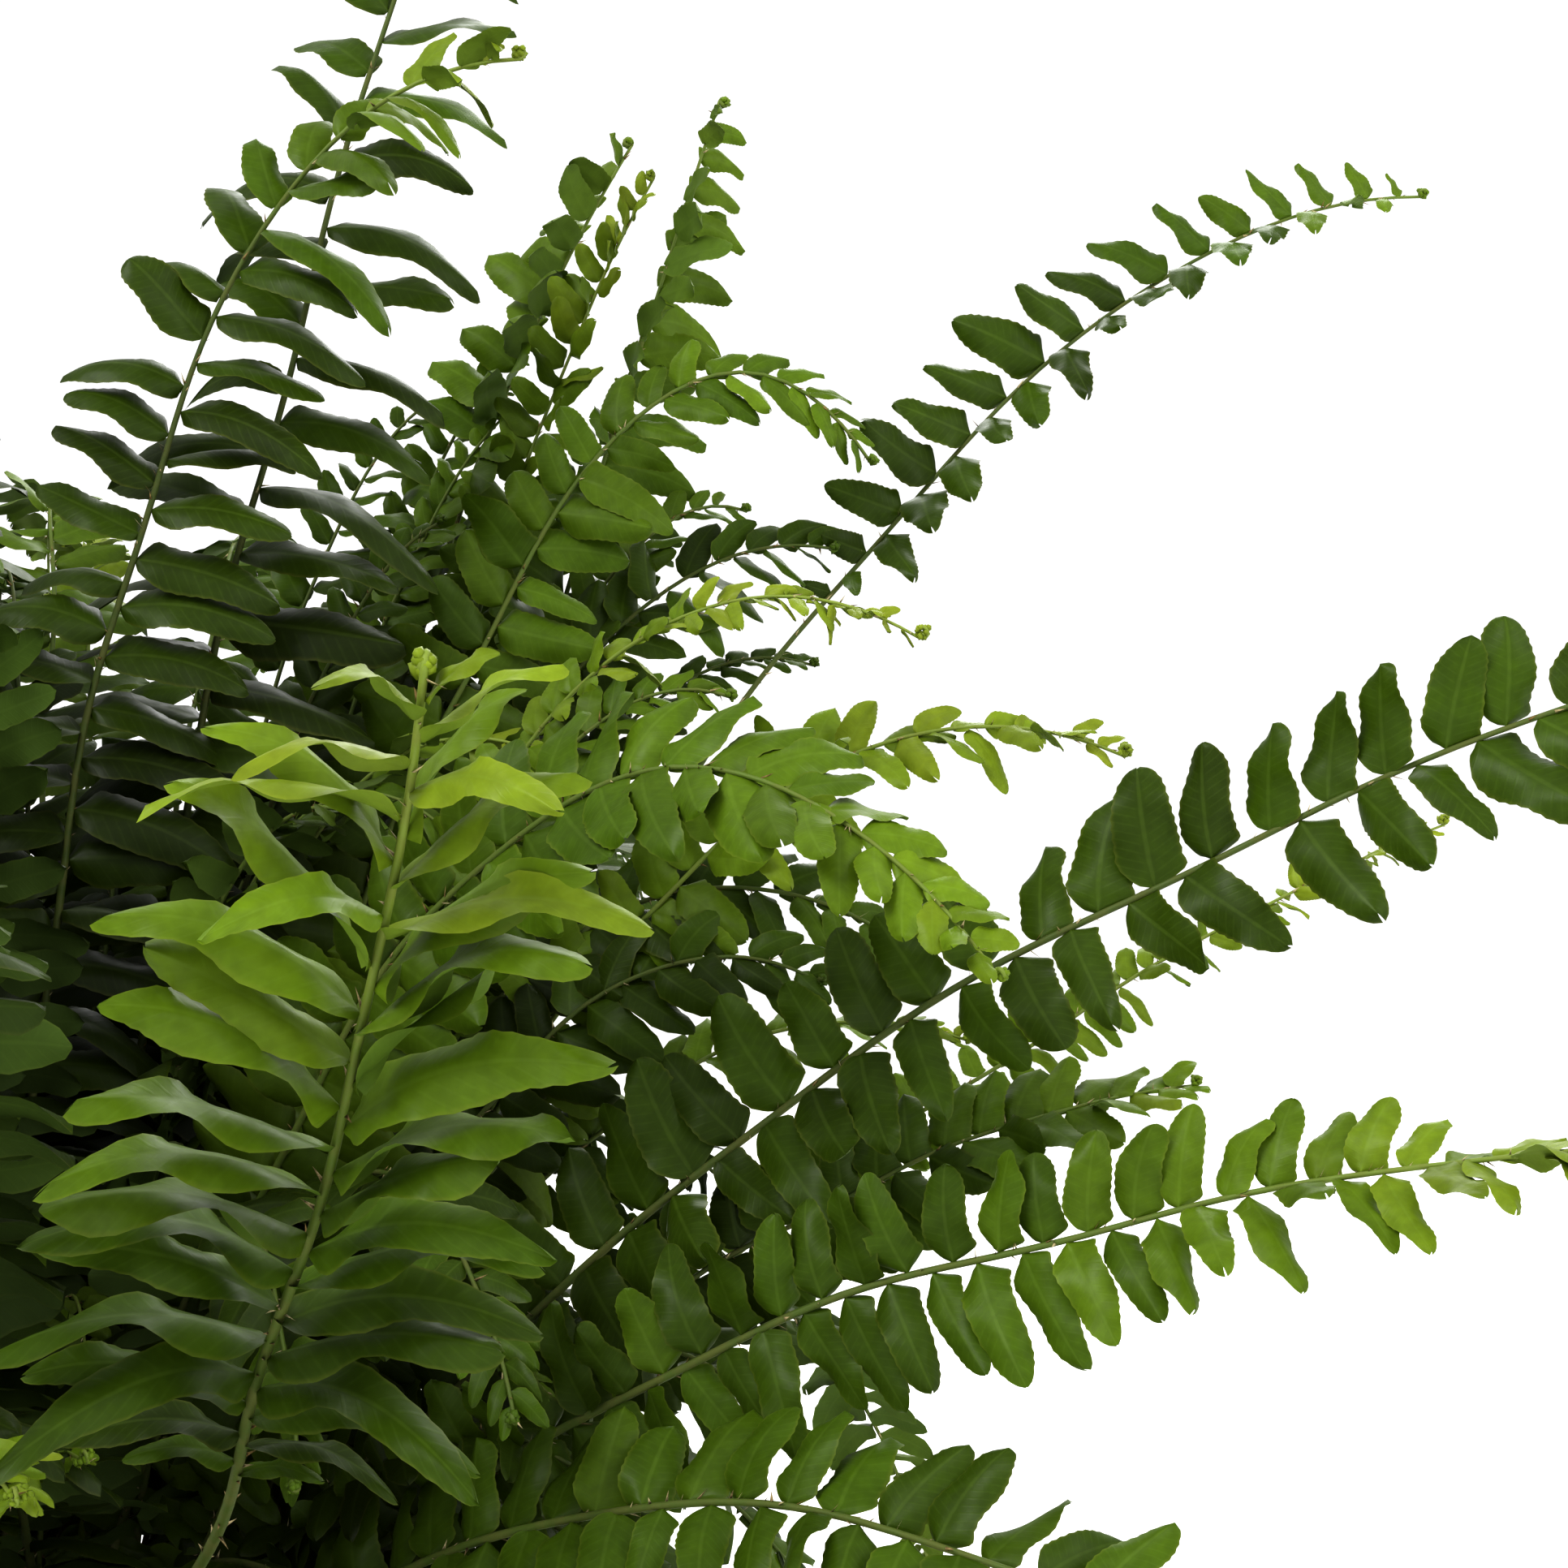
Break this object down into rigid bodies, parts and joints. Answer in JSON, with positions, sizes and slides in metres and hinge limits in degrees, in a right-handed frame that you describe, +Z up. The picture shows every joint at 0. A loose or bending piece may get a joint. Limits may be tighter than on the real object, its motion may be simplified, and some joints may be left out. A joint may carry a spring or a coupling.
{
  "type": "potted fern",
  "caption": "Potted sword fern: arching, leafleted green fronds rising from a scaly crown in a tapered clay pot that stands on its flat base.",
  "frame": {"origin": "middle of the pot's flat underside, on the plane it stands on", "axes": "+Z up along the pot's axis, +X and +Y level; the tallest fronds lean towards +X"},
  "size_m": [0.7573, 0.7172, 0.5924],
  "materials": {
    "clay": "matte unglazed clay",
    "soil": "loose, crumbly and matte",
    "crown": "rough, scaly and fibrous",
    "mature_frond": "satin leaf",
    "mid_frond": "satin leaf",
    "young_frond": "soft satin leaf"
  },
  "bodies": {
    "root": {"clay_pot": "clay", "potting_soil": "soil", "rhizome_crown": "crown", "tall_frond_01": "mature_frond", "tall_frond_02": "mature_frond", "tall_frond_03": "mid_frond", "tall_frond_04": "mid_frond", "arching_frond_01": "mid_frond", "arching_frond_02": "mature_frond", "arching_frond_03": "young_frond", "arching_frond_04": "young_frond", "arching_frond_05": "young_frond", "spreading_frond_01": "mature_frond", "spreading_frond_02": "mature_frond", "spreading_frond_03": "young_frond", "spreading_frond_04": "mature_frond", "spreading_frond_05": "mature_frond", "arching_frond_06": "young_frond", "arching_frond_07": "mature_frond", "arching_frond_08": "young_frond", "hanging_frond_01": "mature_frond", "hanging_frond_02": "mature_frond", "tall_frond_05": "mature_frond", "tall_frond_06": "mature_frond", "tall_frond_07": "mature_frond", "tall_frond_08": "mature_frond", "tall_frond_09": "mature_frond", "tall_frond_10": "mature_frond", "arching_frond_09": "mid_frond", "arching_frond_10": "mid_frond", "arching_frond_11": "mid_frond", "arching_frond_12": "mid_frond", "arching_frond_13": "mid_frond", "arching_frond_14": "mid_frond", "arching_frond_15": "mid_frond", "arching_frond_16": "mid_frond", "arching_frond_17": "mid_frond", "spreading_frond_06": "mature_frond", "spreading_frond_07": "mature_frond", "spreading_frond_08": "mature_frond", "spreading_frond_09": "mature_frond", "spreading_frond_10": "mature_frond", "spreading_frond_11": "mature_frond", "spreading_frond_12": "mature_frond", "spreading_frond_13": "mature_frond", "spreading_frond_14": "mature_frond", "spreading_frond_15": "mature_frond", "hanging_frond_03": "mature_frond", "hanging_frond_04": "mature_frond", "hanging_frond_05": "mature_frond", "hanging_frond_06": "mature_frond", "hanging_frond_07": "mature_frond", "hanging_frond_08": "mature_frond", "hanging_frond_09": "mature_frond", "hanging_frond_10": "mature_frond", "crozier_1": "young_frond", "crozier_2": "young_frond", "crozier_3": "young_frond", "crozier_4": "young_frond"}
  },
  "joints": []
}
